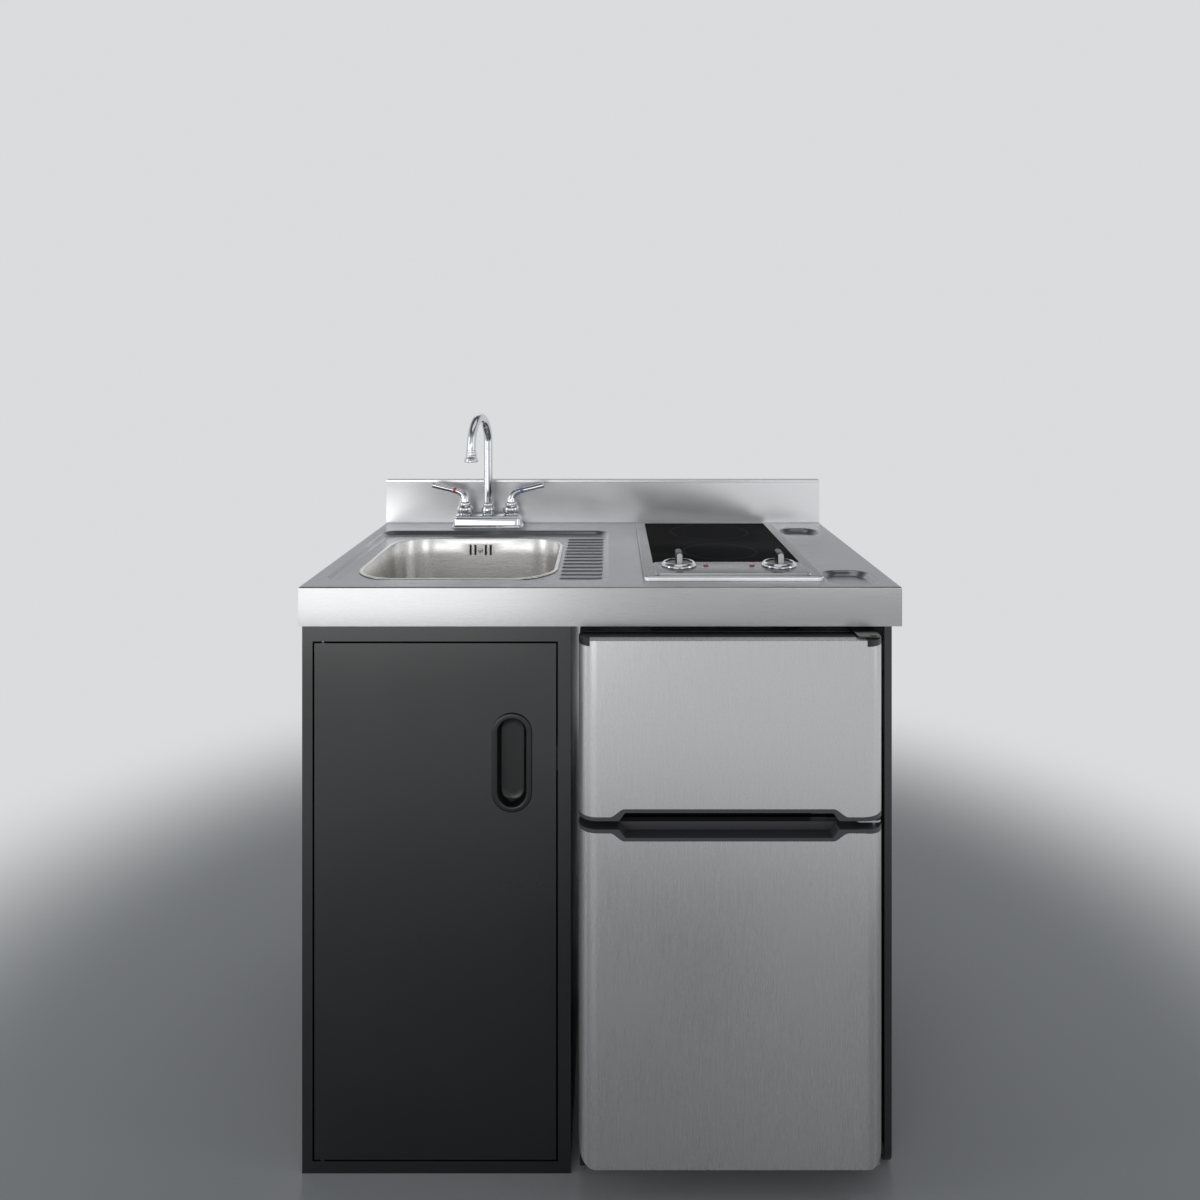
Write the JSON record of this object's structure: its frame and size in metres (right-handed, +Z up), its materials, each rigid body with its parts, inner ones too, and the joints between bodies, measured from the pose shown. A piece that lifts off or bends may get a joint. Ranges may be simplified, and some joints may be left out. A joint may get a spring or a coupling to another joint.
{
  "type": "kitchenette unit",
  "caption": "Freestanding kitchenette: stainless worktop with sink bowl, drainer, swivel tap and electric hob over a black steel cupboard and a two-door undercounter fridge.",
  "frame": {"origin": "centre of the footprint on the floor", "axes": "+X to the right seen from the front, +Y to the wall behind, +Z up"},
  "size_m": [0.978, 0.66, 1.211],
  "materials": {
    "brushed_steel": "fine horizontal brushing, satin",
    "bowl_steel": "satin pressed bowl with a warm cast",
    "chrome": "bright plating",
    "black_paint": "satin black powder coat",
    "black_plastic": "satin moulded plastic",
    "grip_plastic": "dark grey moulded plastic",
    "black_glass": "polished opaque ceramic glass with faint burner rings",
    "platinum_paint": "platinum grey metallic coat with a fine vertical grain",
    "white_plastic": "vacuum-formed white plastic",
    "grey_rubber": "soft gasket",
    "zinc_plate": "zinc plated steel",
    "grey_plastic": "moulded plastic",
    "red_lens": "clear red lens, unlit",
    "ceramic_fibre": "pressed fibre dish"
  },
  "bodies": {
    "unit": {"worktop": "brushed_steel", "backsplash": "brushed_steel", "sink_bowl": "bowl_steel", "overflow_box": "grey_plastic", "overflow_pipe": "grey_plastic", "drain_body": "zinc_plate", "drain_nut": "grey_plastic", "waste_trap": "grey_plastic", "tap_base": "chrome", "hot_shank_nut": "grey_plastic", "cold_shank_nut": "grey_plastic", "hot_bonnet": "chrome", "cold_bonnet": "chrome", "spout_collar": "chrome", "hob_frame": "brushed_steel", "hob_glass": "black_glass", "hob_casing": "zinc_plate", "front_element": "ceramic_fibre", "rear_element": "ceramic_fibre", "left_bezel": "chrome", "right_bezel": "chrome", "left_regulator": "grey_plastic", "right_regulator": "grey_plastic", "left_lamp": "red_lens", "right_lamp": "red_lens", "cabinet_shell": "black_paint", "cabinet_back": "black_paint", "upper_pivot": "zinc_plate", "lower_pivot": "zinc_plate", "magnetic_catch": "grey_plastic", "support_panel": "black_paint", "rear_rail": "black_paint", "fridge_case": "black_paint", "fresh_liner": "white_plastic", "freezer_liner": "white_plastic", "lower_shelf": "chrome", "upper_shelf": "chrome", "top_hinge": "zinc_plate", "middle_hinge": "zinc_plate", "bottom_hinge": "zinc_plate", "compressor": "black_paint"},
    "cabinet_door": {"cabinet_door": "black_paint", "cup_pull": "black_plastic"},
    "freezer_door": {"freezer_door": "platinum_paint", "freezer_top_cap": "black_plastic", "freezer_grip": "grip_plastic", "freezer_door_liner": "white_plastic", "freezer_gasket": "grey_rubber"},
    "fridge_door": {"fridge_door": "platinum_paint", "fridge_grip": "grip_plastic", "fridge_door_liner": "white_plastic", "fridge_gasket": "grey_rubber"},
    "spout": {"spout": "chrome", "aerator": "chrome"},
    "hot_lever": {"hot_lever": "chrome"},
    "cold_lever": {"cold_lever": "chrome"},
    "left_knob": {"left_knob": "black_plastic"},
    "right_knob": {"right_knob": "black_plastic"},
    "strainer_basket": {"strainer_basket": "chrome"},
    "thermostat_knob": {"thermostat_knob": "grey_plastic"}
  },
  "joints": [
    {"name": "cabinet_door_hinge", "type": "hinge", "parent": "unit", "child": "cabinet_door", "pos_m": [-0.454, -0.262, 0.444], "axis": [0, 0, -1], "range_deg": [0, 110]},
    {"name": "freezer_door_hinge", "type": "hinge", "parent": "unit", "child": "freezer_door", "pos_m": [0.434, -0.31, 0.745], "axis": [0, 0, 1], "range_deg": [0, 115]},
    {"name": "fridge_door_hinge", "type": "hinge", "parent": "unit", "child": "fridge_door", "pos_m": [0.434, -0.31, 0.3235], "axis": [0, 0, 1], "range_deg": [0, 115]},
    {"name": "spout_swivel", "type": "hinge", "parent": "unit", "child": "spout", "pos_m": [-0.2535, 0.27, 0.984], "axis": [0, 0, 1], "range_deg": [-80, 100]},
    {"name": "hot_lever_turn", "type": "hinge", "parent": "unit", "child": "hot_lever", "pos_m": [-0.3045, 0.27, 1.013], "axis": [0, 0, 1], "range_deg": [0, 90]},
    {"name": "cold_lever_turn", "type": "hinge", "parent": "unit", "child": "cold_lever", "pos_m": [-0.2025, 0.27, 1.013], "axis": [0, 0, -1], "range_deg": [0, 90]},
    {"name": "left_knob_turn", "type": "hinge", "parent": "unit", "child": "left_knob", "pos_m": [0.1355, -0.172, 0.97], "axis": [0, 0, -1], "range_deg": [0, 290]},
    {"name": "right_knob_turn", "type": "hinge", "parent": "unit", "child": "right_knob", "pos_m": [0.3095, -0.172, 0.97], "axis": [0, 0, -1], "range_deg": [0, 290]},
    {"name": "strainer_lift", "type": "slide", "parent": "unit", "child": "strainer_basket", "axis": [0, 0, 1], "range_m": [0, 0.08]},
    {"name": "thermostat_turn", "type": "hinge", "parent": "unit", "child": "thermostat_knob", "pos_m": [0.402, -0.068, 0.5176], "axis": [-1, 0, 0], "range_deg": [0, 270]}
  ]
}
